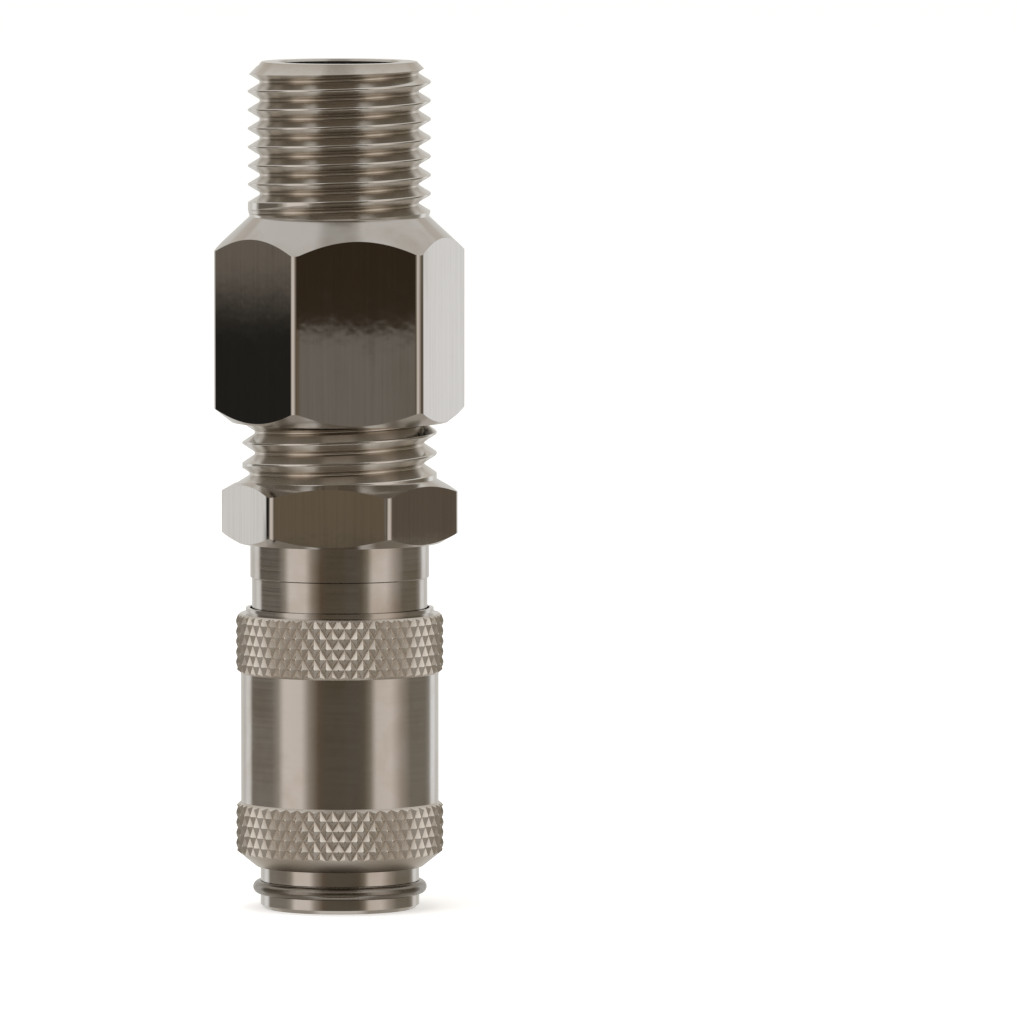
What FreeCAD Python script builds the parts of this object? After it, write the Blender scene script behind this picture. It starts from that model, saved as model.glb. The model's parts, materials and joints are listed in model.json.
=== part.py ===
"""Pneumatic quick coupling: ball-lock socket with a sliding sleeve, a shut-off valve and a threaded adapter.

Millimetres. The coupling stands on its nose: Z is the coupling's axis, with the plug socket's mouth
at Z = 0 and the adapter's outside thread at the top.
"""
import FreeCAD, Part
import math
import os

# Plug that the socket takes
plug_d = 6.7
plug_guide_clearance = 0.25
plug_bore_clearance = 0.07
mouth_chamfer = 0.4

# Barrel: nose, spring neck, valve seat and rear socket
tip_length = 1.05
nose_chamfer = 0.28
neck_relief = 0.2
seal_land = 1.2
stop_land = 0.9
stop_ledge = 0.67
seat_thickness = 1.0
chamber_length = 4.3
shoulder_web = 0.8

# Snap ring that keeps the sleeve on the nose
ring_wire_d = 0.94
ring_seat = 0.4
ring_fit_gap = 0.03
ring_stop_gap = 0.25
ring_gap_deg = 18.0
ring_gap_side_deg = 90.0

# Locking balls
ball_count = 6
ball_d = 2.8
ball_clearance = 0.1
ball_release_gap = 0.03
ball_first_deg = 30.0

# Sleeve
lock_travel = 0.8
pull_travel = 2.0
release_slope = 0.2
sleeve_nose_clearance = 0.1
sleeve_tail_clearance = 0.15
sleeve_top_gap = 0.2
sleeve_wall = 0.65
sleeve_lip_length = 0.86
recess_land = 0.66
sleeve_land = 1.5
sleeve_nose_cone = 1.16
grip_height = 0.35
grip_chamfer = 0.3
lower_grip_length = 3.5
upper_grip_length = 4.3
sleeve_rim_height = 0.4
sleeve_rim_wall = 0.3

# Springs
sleeve_spring_wire_d = 0.7
sleeve_spring_play = 0.125
sleeve_spring_half_turns = 11
valve_spring_wire_d = 0.5
valve_spring_play = 0.15
valve_spring_half_turns = 13

# Valve and seals
plug_seal_wire_d = 1.5
seal_groove_play = 0.3
seal_squeeze = 0.12
seal_fit_gap = 0.03
valve_lift = 2.0
stem_clearance = 0.2
stem_wall = 0.85
port_count = 4
port_d = 1.3
seat_overlap = 1.05
valve_head_play = 0.7
valve_head_thickness = 1.0
valve_seal_thickness = 0.8
valve_spigot_length = 1.2

# Connector
flow_d = 5.0
gasket_width = 0.7
gasket_thickness = 0.6
spigot_length = 5.0
spring_pocket_play = 0.15
spring_pocket_depth = 5.5
collar_step = 0.12
collar_length = 2.5
connector_hex_step = 0.5
connector_hex_length = 4.4
connector_hex_turn_deg = -5.0
connector_hex_chamfer_deg = 30.0
connector_thread_d = 14.0
connector_end_chamfer = 0.75
exposed_thread_length = 4.3
engaged_thread_length = 7.9
thread_clearance = 0.05

# Adapter
adapter_wall = 0.95
adapter_hex_turn_deg = 10.0
adapter_hex_chamfer_deg = 38.0
adapter_floor = 6.35
adapter_shoulder_deg = 47.0
adapter_bore_d = 8.6
adapter_bore_chamfer = 0.6
adapter_thread_d = 13.16
adapter_thread_depth = 0.58
adapter_thread_length = 10.65
adapter_thread_relief = 0.7
adapter_end_chamfer = 1.0
adapter_gasket_thickness = 1.0
edge_break = 0.2

# Radii from the plug outwards
guide_r = plug_d / 2 + plug_guide_clearance
bore_r = plug_d / 2 + plug_bore_clearance
seat_r = bore_r - stop_ledge
stem_r = seat_r - stem_clearance
valve_head_r = seat_r + seat_overlap
chamber_r = valve_head_r + valve_head_play
socket_r = chamber_r + gasket_width
seal_wire_r = plug_seal_wire_d / 2
seal_r = plug_d / 2 - seal_squeeze + seal_wire_r

# The sleeve's release ramp moves each ball outwards by release_slope times the sleeve's travel
ramp_angle = math.atan(release_slope)
ball_r = ball_d / 2
pocket_r = ball_r + ball_clearance
ball_open_r = bore_r + ball_release_gap + ball_r
ball_rest_r = ball_open_r - release_slope * pull_travel
ball_lock_r = ball_rest_r - release_slope * lock_travel
sleeve_bore_r = ball_lock_r + pocket_r / math.cos(ramp_angle)
ramp_end = pocket_r * math.sin(ramp_angle) + edge_break / 2
recess_depth = release_slope * (lock_travel + pull_travel + ramp_end)

# Radii of the nose, the sleeve's spring and the sleeve
nose_r = sleeve_bore_r - sleeve_nose_clearance
ring_wire_r = ring_wire_d / 2
ring_r = nose_r - ring_seat + ring_wire_r
neck_r = nose_r - neck_relief
sleeve_spring_r = neck_r + sleeve_spring_play + sleeve_spring_wire_d / 2
sleeve_spring_bore_r = sleeve_spring_r + sleeve_spring_wire_d / 2 + sleeve_spring_play
tail_r = sleeve_spring_bore_r - sleeve_tail_clearance
waist_r = sleeve_spring_bore_r + sleeve_wall
grip_r = waist_r + grip_height

# Radii of the connector, the valve's spring and the adapter
valve_spring_r = flow_d / 2 + valve_spring_wire_d
valve_spigot_r = valve_spring_r - valve_spring_wire_d / 2 - valve_spring_play
spring_pocket_r = valve_spring_r + valve_spring_wire_d / 2 + spring_pocket_play
collar_r = tail_r + collar_step
connector_thread_r = connector_thread_d / 2
connector_flat_r = connector_thread_r + connector_hex_step
adapter_socket_r = connector_thread_r + thread_clearance
adapter_flat_r = adapter_socket_r + adapter_wall
adapter_bore_r = adapter_bore_d / 2
adapter_thread_r = adapter_thread_d / 2
adapter_neck_r = adapter_thread_r - adapter_thread_depth

# Heights of the snap ring, the sleeve's inside and the balls
ring_height = tip_length + ring_wire_r
sleeve_low = ring_height + ring_wire_r + lock_travel + ring_stop_gap
lip_high = sleeve_low + sleeve_lip_length
ramp_low = lip_high + recess_depth + recess_land
ball_height = ramp_low + pull_travel + ramp_end
ramp_high = ball_height + lock_travel
sleeve_spring_low = ramp_high + sleeve_land

# Heights in the barrel and on the valve
guide_length = ball_height - pocket_r - edge_break / 2
neck_low = ball_height + pocket_r + edge_break / 2
seal_low = ball_height + pocket_r + seal_land
seal_high = seal_low + plug_seal_wire_d + seal_groove_play
stop_height = seal_high + stop_land
seat_height = stop_height + seat_thickness
barrel_step = seat_height + chamber_length
neck_high = barrel_step - shoulder_web
spigot_low = barrel_step + gasket_thickness
seam_height = spigot_low + spigot_length
valve_low = stop_height - valve_lift
valve_head_low = seat_height + valve_seal_thickness
valve_head_high = valve_head_low + valve_head_thickness
valve_high = valve_head_high + valve_spigot_length

# Heights on the sleeve's outside
grip_low = sleeve_low + sleeve_nose_cone
waist_low = grip_low + lower_grip_length
rim_high = seam_height - pull_travel - sleeve_top_gap
sleeve_high = rim_high - sleeve_rim_height
waist_high = sleeve_high - upper_grip_length

# Heights in the connector and the adapter
pocket_top = spigot_low + spring_pocket_depth
connector_hex_low = seam_height + collar_length
connector_hex_high = connector_hex_low + connector_hex_length
adapter_low = connector_hex_high + exposed_thread_length
connector_top = adapter_low + engaged_thread_length
adapter_step = connector_top + adapter_gasket_thickness
adapter_neck_low = adapter_step + adapter_floor
adapter_top = adapter_neck_low + adapter_thread_length

origin = FreeCAD.Vector(0, 0, 0)
axis_z = FreeCAD.Vector(0, 0, 1)


def turned(outline):
    """Solid turned about Z from a closed outline of (radius, height) points."""
    points = [FreeCAD.Vector(radius, 0, height) for radius, height in outline]
    face = Part.Face(Part.makePolygon(points + points[:1]))
    return face.revolve(origin, axis_z, 360)


def ring(inner_r, outer_r, low, high):
    """Plain flat ring."""
    return turned([(inner_r, low), (outer_r, low), (outer_r, high), (inner_r, high)])


def torus(mean_r, wire_r, height):
    """Ring of round section about Z."""
    return Part.makeTorus(mean_r, wire_r, FreeCAD.Vector(0, 0, height))


def corner_radius(flat_r):
    """Radius of a hexagon's corners from the radius of its flats."""
    return flat_r / math.cos(math.pi / 6)


def hexagon(flat_r, low, high, turn_deg):
    """Six-sided prism with one corner at turn_deg."""
    corner_r = corner_radius(flat_r)
    corners = []
    for side in range(6):
        angle = math.radians(turn_deg + 60 * side)
        corners.append(FreeCAD.Vector(corner_r * math.cos(angle), corner_r * math.sin(angle), low))
    face = Part.Face(Part.makePolygon(corners + corners[:1]))
    return face.extrude(FreeCAD.Vector(0, 0, high - low))


def coil_spring(mean_r, wire_d, low, high, half_turns):
    """Round-wire compression spring: a chain of tilted half turns between two flat ones that seat it."""
    rise = (high - low - wire_d) / (half_turns - 2)
    height = low + wire_d / 2
    section = Part.makeCircle(wire_d / 2, FreeCAD.Vector(mean_r, 0, height), FreeCAD.Vector(0, 1, 0))
    side = 1
    arcs = []
    for index in range(half_turns):
        step = 0 if index in (0, half_turns - 1) else rise
        start = FreeCAD.Vector(side * mean_r, 0, height)
        end = FreeCAD.Vector(-side * mean_r, 0, height + step)
        crown = FreeCAD.Vector(0, side * (end - start).Length / 2, height + step / 2)
        arcs.append(Part.Arc(start, crown, end).toShape())
        height = height + step
        side = -side
    return Part.Wire(arcs).makePipeShell([Part.Wire(section)], True, False)


def around(shape, angle_deg):
    """Copy of a shape turned about the coupling's axis."""
    copy = shape.copy()
    copy.rotate(origin, axis_z, angle_deg)
    return copy


def ball_angles():
    """Directions of the locking balls about the axis."""
    return [ball_first_deg + 360 / ball_count * index for index in range(ball_count)]


def ball_pocket():
    """Radial hole with a round seat that keeps the ball from falling into the bore."""
    seat = Part.makeSphere(pocket_r, FreeCAD.Vector(ball_lock_r, 0, ball_height))
    place = FreeCAD.Vector(ball_lock_r, 0, ball_height)
    return seat.fuse(Part.makeCylinder(pocket_r, nose_r, place, FreeCAD.Vector(1, 0, 0)))


def make_barrel():
    """Turned barrel with the snap ring's groove, the ball holes, the valve seat and the rear socket."""
    groove_r = seal_r + seal_wire_r + seal_fit_gap
    body = turned([
        (guide_r + mouth_chamfer, 0), (nose_r - nose_chamfer, 0), (nose_r, nose_chamfer),
        (nose_r, neck_low), (neck_r, neck_low + nose_r - neck_r), (neck_r, neck_high),
        (tail_r - edge_break, neck_high), (tail_r, neck_high + edge_break),
        (tail_r, seam_height), (socket_r, seam_height),
        (socket_r, barrel_step), (chamber_r, barrel_step), (chamber_r, seat_height),
        (seat_r, seat_height), (seat_r, stop_height), (bore_r, stop_height),
        (bore_r, seal_high), (groove_r, seal_high), (groove_r, seal_low), (bore_r, seal_low),
        (bore_r, guide_length + guide_r - bore_r), (guide_r, guide_length), (guide_r, mouth_chamfer),
    ])
    body = body.cut(torus(ring_r, ring_wire_r + ring_fit_gap, ring_height))
    pocket = ball_pocket()
    for angle in ball_angles():
        body = body.cut(around(pocket, angle))
    return body


def make_snap_ring():
    """Open ring of round spring wire in the nose's groove."""
    middle = FreeCAD.Vector(ring_r, 0, ring_height)
    section = Part.makeCircle(ring_wire_r, middle, FreeCAD.Vector(0, 1, 0))
    bar = Part.Face(Part.Wire(section)).revolve(origin, axis_z, 360 - ring_gap_deg)
    return around(bar, ring_gap_side_deg + ring_gap_deg / 2)


def make_ball(angle):
    """Hardened ball in its pocket, as it stands with no plug in the socket."""
    return around(Part.makeSphere(ball_r, FreeCAD.Vector(ball_rest_r, 0, ball_height)), angle)


def make_sleeve():
    """Sliding sleeve: two grip bands, a waist, and inside the release ramp and the spring's seat."""
    rim_r = sleeve_spring_bore_r + sleeve_rim_wall
    recess_r = sleeve_bore_r + recess_depth
    return turned([
        (sleeve_bore_r, sleeve_low), (sleeve_bore_r + edge_break, sleeve_low), (grip_r, grip_low),
        (grip_r, waist_low - grip_chamfer), (waist_r, waist_low), (waist_r, waist_high),
        (grip_r, waist_high + grip_chamfer), (grip_r, sleeve_high - grip_chamfer),
        (grip_r - grip_chamfer, sleeve_high), (rim_r, sleeve_high), (rim_r, rim_high),
        (sleeve_spring_bore_r, rim_high), (sleeve_spring_bore_r, sleeve_spring_low),
        (sleeve_bore_r, sleeve_spring_low), (sleeve_bore_r, ramp_high), (recess_r, ramp_low),
        (recess_r, lip_high + recess_depth), (sleeve_bore_r, lip_high),
    ])


def make_valve():
    """Mushroom valve: hollow stem with side ports, flat head and a spigot that centres the spring."""
    stem_bore_r = stem_r - stem_wall
    body = turned([
        (stem_bore_r, valve_low), (stem_r - edge_break, valve_low), (stem_r, valve_low + edge_break),
        (stem_r, valve_head_low), (valve_head_r, valve_head_low),
        (valve_head_r, valve_head_high - edge_break), (valve_head_r - edge_break, valve_head_high),
        (valve_spigot_r, valve_head_high), (valve_spigot_r, valve_high - edge_break),
        (valve_spigot_r - edge_break, valve_high), (0, valve_high), (0, seat_height),
        (stem_bore_r, seat_height),
    ])
    place = FreeCAD.Vector(0, 0, seat_height - port_d / 2 - edge_break)
    port = Part.makeCylinder(port_d / 2, 2 * stem_r, place, FreeCAD.Vector(1, 0, 0))
    for index in range(port_count):
        body = body.cut(around(port, 360 / port_count * index))
    return body


def make_connector():
    """Connector that closes the barrel: spigot, collar, hexagon and the long outside thread."""
    corner_r = corner_radius(connector_flat_r)
    chamfer_r = connector_flat_r - edge_break
    drop = (corner_r - chamfer_r) * math.tan(math.radians(connector_hex_chamfer_deg))
    spigot_r = socket_r - thread_clearance
    envelope = turned([
        (0, connector_hex_low), (chamfer_r, connector_hex_low),
        (corner_r, connector_hex_low + drop), (corner_r, connector_hex_high - drop),
        (chamfer_r, connector_hex_high), (0, connector_hex_high),
    ])
    body = hexagon(connector_flat_r, connector_hex_low, connector_hex_high, connector_hex_turn_deg)
    outer = turned([
        (0, spigot_low), (spigot_r, spigot_low), (spigot_r, seam_height),
        (collar_r, seam_height), (collar_r, connector_hex_high), (connector_thread_r, connector_hex_high),
        (connector_thread_r, connector_top - connector_end_chamfer),
        (connector_thread_r - connector_end_chamfer, connector_top), (0, connector_top),
    ])
    inner = turned([
        (0, spigot_low), (spring_pocket_r, spigot_low), (spring_pocket_r, pocket_top),
        (flow_d / 2, pocket_top), (flow_d / 2, connector_top), (0, connector_top),
    ])
    return outer.fuse(body.common(envelope)).cut(inner).removeSplitter()


def make_adapter():
    """Adapter: hexagon with an inside thread below, and an outside pipe thread on top."""
    corner_r = corner_radius(adapter_flat_r)
    chamfer_r = adapter_flat_r - edge_break
    low_drop = (corner_r - chamfer_r) * math.tan(math.radians(adapter_hex_chamfer_deg))
    top_drop = (corner_r - adapter_neck_r) / math.tan(math.radians(adapter_shoulder_deg))
    envelope = turned([
        (0, adapter_low), (chamfer_r, adapter_low), (corner_r, adapter_low + low_drop),
        (corner_r, adapter_neck_low - top_drop), (adapter_neck_r, adapter_neck_low), (0, adapter_neck_low),
    ])
    body = hexagon(adapter_flat_r, adapter_low, adapter_neck_low, adapter_hex_turn_deg).common(envelope)
    thread_low = adapter_neck_low + adapter_thread_relief
    stud = turned([
        (0, adapter_neck_low), (adapter_neck_r, adapter_neck_low),
        (adapter_neck_r, thread_low - adapter_thread_depth), (adapter_thread_r, thread_low),
        (adapter_thread_r, adapter_top - adapter_end_chamfer),
        (adapter_thread_r - adapter_end_chamfer, adapter_top), (0, adapter_top),
    ])
    inner = turned([
        (0, adapter_low), (adapter_socket_r + edge_break, adapter_low),
        (adapter_socket_r, adapter_low + edge_break),
        (adapter_socket_r, adapter_step), (adapter_bore_r, adapter_step),
        (adapter_bore_r, adapter_top - adapter_bore_chamfer),
        (adapter_bore_r + adapter_bore_chamfer, adapter_top), (0, adapter_top),
    ])
    return body.fuse(stud).cut(inner).removeSplitter()


def make_pieces():
    """Every piece of the coupling by its node's name."""
    pieces = {
        "adapter": make_adapter(),
        "adapter_gasket": ring(adapter_bore_r, connector_thread_r, connector_top, adapter_step),
        "connector": make_connector(),
        "barrel_gasket": ring(chamber_r, socket_r - thread_clearance, barrel_step, spigot_low),
        "barrel": make_barrel(),
        "snap_ring": make_snap_ring(),
        "plug_seal": torus(seal_r, seal_wire_r, (seal_low + seal_high) / 2),
        "sleeve": make_sleeve(),
        "sleeve_spring": coil_spring(
            sleeve_spring_r, sleeve_spring_wire_d, sleeve_spring_low, neck_high, sleeve_spring_half_turns),
        "valve": make_valve(),
        "valve_seal": ring(stem_r + seal_fit_gap, valve_head_r, seat_height, valve_head_low),
        "valve_spring": coil_spring(
            valve_spring_r, valve_spring_wire_d, valve_head_high, pocket_top, valve_spring_half_turns),
    }
    for index, angle in enumerate(ball_angles()):
        pieces["ball_%d" % (index + 1)] = make_ball(angle)
    return pieces


os.makedirs("parts", exist_ok=True)
for name, shape in make_pieces().items():
    shape.exportStep("parts/%s.step" % name)
    print("%-15s %d solid, %8.2f mm3" % (name, len(shape.Solids), shape.Volume))
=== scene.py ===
"""Looks of the pneumatic quick coupling, laid out as an add-on: an operator for each piece and one for the stage.

Metres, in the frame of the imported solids: Z is the coupling's axis, and the plug goes in at Z = 0.
"""
import json
import math

import bmesh
import bpy
from bpy.props import FloatProperty, FloatVectorProperty, IntProperty, PointerProperty
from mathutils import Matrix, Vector


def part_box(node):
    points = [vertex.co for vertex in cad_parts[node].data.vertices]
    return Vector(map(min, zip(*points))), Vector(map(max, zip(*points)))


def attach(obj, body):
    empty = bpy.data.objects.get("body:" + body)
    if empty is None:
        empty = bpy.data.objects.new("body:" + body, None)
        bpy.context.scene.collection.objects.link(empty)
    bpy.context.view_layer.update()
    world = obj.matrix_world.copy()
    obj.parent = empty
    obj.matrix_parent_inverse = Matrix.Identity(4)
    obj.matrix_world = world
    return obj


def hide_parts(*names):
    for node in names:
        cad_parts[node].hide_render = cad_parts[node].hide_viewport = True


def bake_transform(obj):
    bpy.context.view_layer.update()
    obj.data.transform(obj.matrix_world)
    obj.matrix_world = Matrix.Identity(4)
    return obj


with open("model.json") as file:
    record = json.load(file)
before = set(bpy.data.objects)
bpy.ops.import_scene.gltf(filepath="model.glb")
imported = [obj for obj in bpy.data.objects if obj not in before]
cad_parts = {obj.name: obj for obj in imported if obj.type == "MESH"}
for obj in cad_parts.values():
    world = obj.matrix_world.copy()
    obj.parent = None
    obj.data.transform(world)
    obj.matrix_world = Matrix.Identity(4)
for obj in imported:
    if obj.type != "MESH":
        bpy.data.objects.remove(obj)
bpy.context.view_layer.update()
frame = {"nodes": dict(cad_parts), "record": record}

bl_info = {
    "name": "Pneumatic quick coupling",
    "version": (1, 0, 0),
    "blender": (4, 5, 0),
    "location": "3D View > Sidebar > Coupling",
    "description": "Builds the coupling socket piece by piece on its packed solids",
    "category": "Object",
}

MM = 0.001
WELD = 0.001 * MM
BALLS = ["ball_%d" % number for number in range(1, 7)]
# Direction of the first ball, in degrees about the axis
FIRST_BALL = 30.0

# Faces round a whole turn
TURN_STEPS = 192
SMALL_TURN_STEPS = 96
THREAD_STEPS = 96
BALL_STEPS = 32
PORT_STEPS = 32
RING_WIRE_STEPS = 24
COIL_WIRE_STEPS = 16

# Faces along part of a turn
HALF_COIL_STEPS = 24
RUN_OUT_STEPS = 20
ARC_STEPS = 10
ROOT_STEPS = 8
CORNER_STEPS = 6
CREST_STEPS = 3

# Degrees up to which the shading runs on over an edge
CRISP = 12.0
THREAD_SMOOTH = 20.0
WIRE_SMOOTH = 30.0

# Threads: slope in degrees at which a crest's rounding ends, half of its flat as a share of the pitch,
# and how far the cutter stands over the crests as a share of the depth
CREST_EDGE = 25.0
CREST_FLAT = 0.03
CUTTER_RISE = 0.1

# Hexagons: the turned blank stands past the corners, and its chamfers start inside the flats
BLANK_SPARE = 0.1 * MM
CHAMFER_INSET = 0.2 * MM

# Edges at the seam of barrel and connector, and how deep a knurled band sits in the sleeve
SEAM_BREAK = 0.04 * MM
BAND_OVERLAP = 0.3 * MM

# Choosing faces: a thread's end that stays turned, a margin beside a step, and limits of a normal's Z
END_FACE = 0.1 * MM
FACE_MARGIN = 0.02 * MM
UPRIGHT = 0.01
UPWARD = 0.9
CONE_SLOPE = -0.3


def heights(node):
    """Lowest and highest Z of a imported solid."""
    low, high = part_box(node)
    return low.z, high.z


def middle(node):
    """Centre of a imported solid's box."""
    low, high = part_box(node)
    return (low + high) / 2


def outer_radius(node):
    """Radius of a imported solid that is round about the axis."""
    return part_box(node)[1].x


def mount_size(name, key):
    """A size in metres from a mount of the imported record."""
    mount = next(row for row in frame["record"]["mounts"] if row["name"] == name)
    return mount["dims"][key] * MM


def linear(hex_colour):
    """Linear RGB of an sRGB hex colour."""
    channels = [int(hex_colour[place:place + 2], 16) / 255 for place in (1, 3, 5)]
    return [c / 12.92 if c <= 0.04045 else ((c + 0.055) / 1.055) ** 2.4 for c in channels]


def length(label, note, default):
    """Length property."""
    return FloatProperty(name=label, description=note, default=default, precision=5, unit="LENGTH")


def angle(label, note, degrees):
    """Angle property."""
    return FloatProperty(name=label, description=note, default=math.radians(degrees), subtype="ANGLE",
                         unit="ROTATION")


def share(label, note, default):
    """Property from 0 to 1."""
    return FloatProperty(name=label, description=note, default=default, min=0.0, max=1.0, subtype="FACTOR")


def count(label, note, default):
    """Whole number property."""
    return IntProperty(name=label, description=note, default=default, min=2)


def colour(label, note, hex_colour):
    """Colour property, written as sRGB hex."""
    return FloatVectorProperty(name=label, description=note, default=linear(hex_colour), size=3,
                               min=0.0, max=1.0, subtype="COLOR")


def point(label, note, default):
    """Property for a point in space."""
    return FloatVectorProperty(name=label, description=note, default=default, size=3, unit="LENGTH")


class AdapterSizes(bpy.types.PropertyGroup):
    """Sizes of the adapter with the pipe thread."""
    across_flats: length("Across flats", "Width of the large hexagon", 16.0 * MM)
    turn: angle("Turn", "Direction of one corner of the hexagon about the axis", 10.0)
    corner_round: length("Corner round", "Rounding of the hexagon's corners", 0.45 * MM)
    low_chamfer: angle("Lower chamfer", "Slope of the chamfer under the hexagon", 38.0)
    shoulder: angle("Shoulder", "Slope of the cone above the hexagon, from the axis", 47.0)
    neck_rise: length("Neck", "Small end of the cone, over the thread's root", 0.25 * MM)
    run_out_depth: length("Run-out", "Where the cone meets the thread, under its crests", 0.12 * MM)
    thread_length: length("Thread length", "Stretch above the hexagon", 10.65 * MM)
    thread_d: length("Thread diameter", "Outside diameter of the pipe thread",
                     2 * mount_size("pipe_thread", "r_mm"))
    thread_pitch: length("Thread pitch", "Rise of the pipe thread in one turn", 1.337 * MM)
    thread_depth: length("Thread depth", "Depth of the pipe thread", 0.86 * MM)
    flank: angle("Flank", "Half the angle of the pipe thread's groove", 27.5)
    thread_start: length("Thread start", "Rise of the first groove over the shoulder", -0.18 * MM)
    thread_turn: angle("Thread turn", "Direction in which the first groove starts", 180.0)
    end_chamfer: length("End chamfer", "Chamfer at the pipe thread's end", 1.0 * MM)
    bore_d: length("Bore", "Diameter of the air bore", 8.6 * MM)
    bore_chamfer: length("Bore chamfer", "Chamfer at the bore's mouth", 0.15 * MM)
    socket_d: length("Socket", "Diameter of the inside thread", 14.1 * MM)
    socket_chamfer: length("Socket chamfer", "Chamfer at the inside thread's mouth", 0.2 * MM)


class ConnectorSizes(bpy.types.PropertyGroup):
    """Sizes of the connector between barrel and adapter."""
    across_flats: length("Across flats", "Width of the small hexagon", 15.0 * MM)
    turn: angle("Turn", "Direction of one corner of the hexagon about the axis", -5.0)
    corner_round: length("Corner round", "Rounding of the hexagon's corners", 0.45 * MM)
    chamfer: angle("Chamfer", "Slope of both chamfers of the hexagon", 30.0)
    hex_length: length("Hexagon length", "Height of the hexagon", 4.4 * MM)
    collar_length: length("Collar length", "Round collar below the hexagon", 2.5 * MM)
    collar_d: length("Collar", "Diameter of the collar", 12.88 * MM)
    thread_d: length("Thread diameter", "Outside diameter of the metric thread", 14.0 * MM)
    thread_pitch: length("Thread pitch", "Rise of the metric thread in one turn", 1.5 * MM)
    thread_depth: length("Thread depth", "Depth of the metric thread", 0.9 * MM)
    flank: angle("Flank", "Half the angle of the metric thread's groove", 30.0)
    thread_start: length("Thread start", "Rise of the first groove over the hexagon", 0.34 * MM)
    thread_turn: angle("Thread turn", "Direction in which the first groove starts", 135.0)
    end_chamfer: length("End chamfer", "Chamfer at the thread's end", 0.75 * MM)
    flow_d: length("Flow bore", "Diameter of the air bore", 5.0 * MM)
    pocket_d: length("Spring pocket", "Diameter of the pocket of the valve's spring", 6.8 * MM)


class BarrelSizes(bpy.types.PropertyGroup):
    """Sizes of the barrel that the sleeve slides on."""
    nose_d: length("Nose", "Diameter of the nose", 11.44 * MM)
    nose_chamfer: length("Nose chamfer", "Chamfer at the nose's end", 0.28 * MM)
    neck_relief: length("Neck relief", "Step down from the nose to the spring's neck", 0.2 * MM)
    guide_d: length("Guide", "Diameter of the mouth that guides the plug",
                    2 * mount_size("plug_socket", "r_mm"))
    bore_d: length("Bore", "Diameter of the bore at the seal", 6.84 * MM)
    mouth_chamfer: length("Mouth chamfer", "Chamfer at the mouth", 0.4 * MM)
    seat_d: length("Valve seat", "Diameter of the hole in the valve's seat", 5.5 * MM)
    seat_thickness: length("Seat thickness", "Thickness of the valve's seat", 1.0 * MM)
    chamber_d: length("Valve chamber", "Diameter of the room round the valve's head", 9.0 * MM)
    gasket_play: length("Gasket play", "Room round the gasket in the rear socket", 0.05 * MM)
    groove_play: length("Groove play", "Room beside the O-ring in its groove", 0.15 * MM)
    groove_fit: length("Groove fit", "Room round the O-ring in its groove", 0.03 * MM)
    ball_play: length("Ball play", "Room round each ball in its hole", 0.1 * MM)
    ball_land: length("Ball land", "Plain stretch beside each ball's hole", 0.1 * MM)
    ball_sink: length("Ball sink", "How far each hole's bottom lies behind its ball", 0.16 * MM)
    ring_fit: length("Ring fit", "Room round the snap ring in its groove", 0.03 * MM)
    edge_break: length("Edge break", "Small chamfer on sharp edges", 0.2 * MM)


class SleeveSizes(bpy.types.PropertyGroup):
    """Sizes of the knurled sleeve."""
    waist_d: length("Waist", "Diameter of the plain waist", 14.24 * MM)
    waist_wall: length("Waist wall", "Wall between the waist and the spring", 0.65 * MM)
    bore_d: length("Bore", "Diameter of the bore that slides on the nose", 11.64 * MM)
    nose_ring: length("Nose ring", "Flat ring at the nose's end", 0.2 * MM)
    nose_cone: length("Nose cone", "Height of the cone below the lower grip", 1.16 * MM)
    lower_grip: length("Lower grip", "Height of the lower knurled band", 3.5 * MM)
    upper_grip: length("Upper grip", "Height of the upper knurled band", 4.3 * MM)
    grip_chamfer: length("Grip chamfer", "Chamfer at the bands' ends", 0.3 * MM)
    rim_height: length("Rim height", "Height of the thin rim at the rear", 0.4 * MM)
    rim_wall: length("Rim wall", "Thickness of the thin rim", 0.3 * MM)
    undercut: length("Undercut", "Groove at the foot of the thin rim", 0.15 * MM)
    lip_length: length("Lip", "Length of the bore below the balls' recess", 0.86 * MM)
    recess_depth: length("Recess depth", "Depth of the recess that lets the balls out", 0.639 * MM)
    ramp: length("Ramp", "Length of the release ramp", 3.2 * MM)
    land: length("Land", "Plain bore between the ramp and the spring", 1.5 * MM)
    knurl_count: count("Knurl count", "Points of the knurl round the sleeve", 52)
    knurl_row: length("Knurl row", "Rise from one row of points to the next", 0.74 * MM)
    knurl_depth: length("Knurl depth", "Depth of the knurl", 0.24 * MM)
    knurl_point: length("Knurl point", "Height of each point that the flat on it takes away", 0.03 * MM)


class ValveSizes(bpy.types.PropertyGroup):
    """Sizes of the mushroom valve."""
    stem_d: length("Stem", "Diameter of the stem that the plug pushes", 5.1 * MM)
    hollow_d: length("Hollow", "Diameter of the stem's air bore", 3.4 * MM)
    spigot_d: length("Spigot", "Diameter of the spigot in the spring", 5.2 * MM)
    port_d: length("Port", "Diameter of the stem's side ports", 1.3 * MM)
    edge_break: length("Edge break", "Small chamfer on sharp edges", 0.2 * MM)


class SpringSizes(bpy.types.PropertyGroup):
    """Wire and turns of the two springs, and the snap ring's gap."""
    sleeve_wire: length("Sleeve spring wire", "Wire of the spring that pushes the sleeve", 0.7 * MM)
    sleeve_half_turns: count("Sleeve spring half turns", "Half turns of the sleeve's spring", 11)
    valve_wire: length("Valve spring wire", "Wire of the spring that pushes the valve", 0.5 * MM)
    valve_half_turns: count("Valve spring half turns", "Half turns of the valve's spring", 13)
    ring_gap: angle("Ring gap", "Gap between the snap ring's ends", 18.0)


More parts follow.
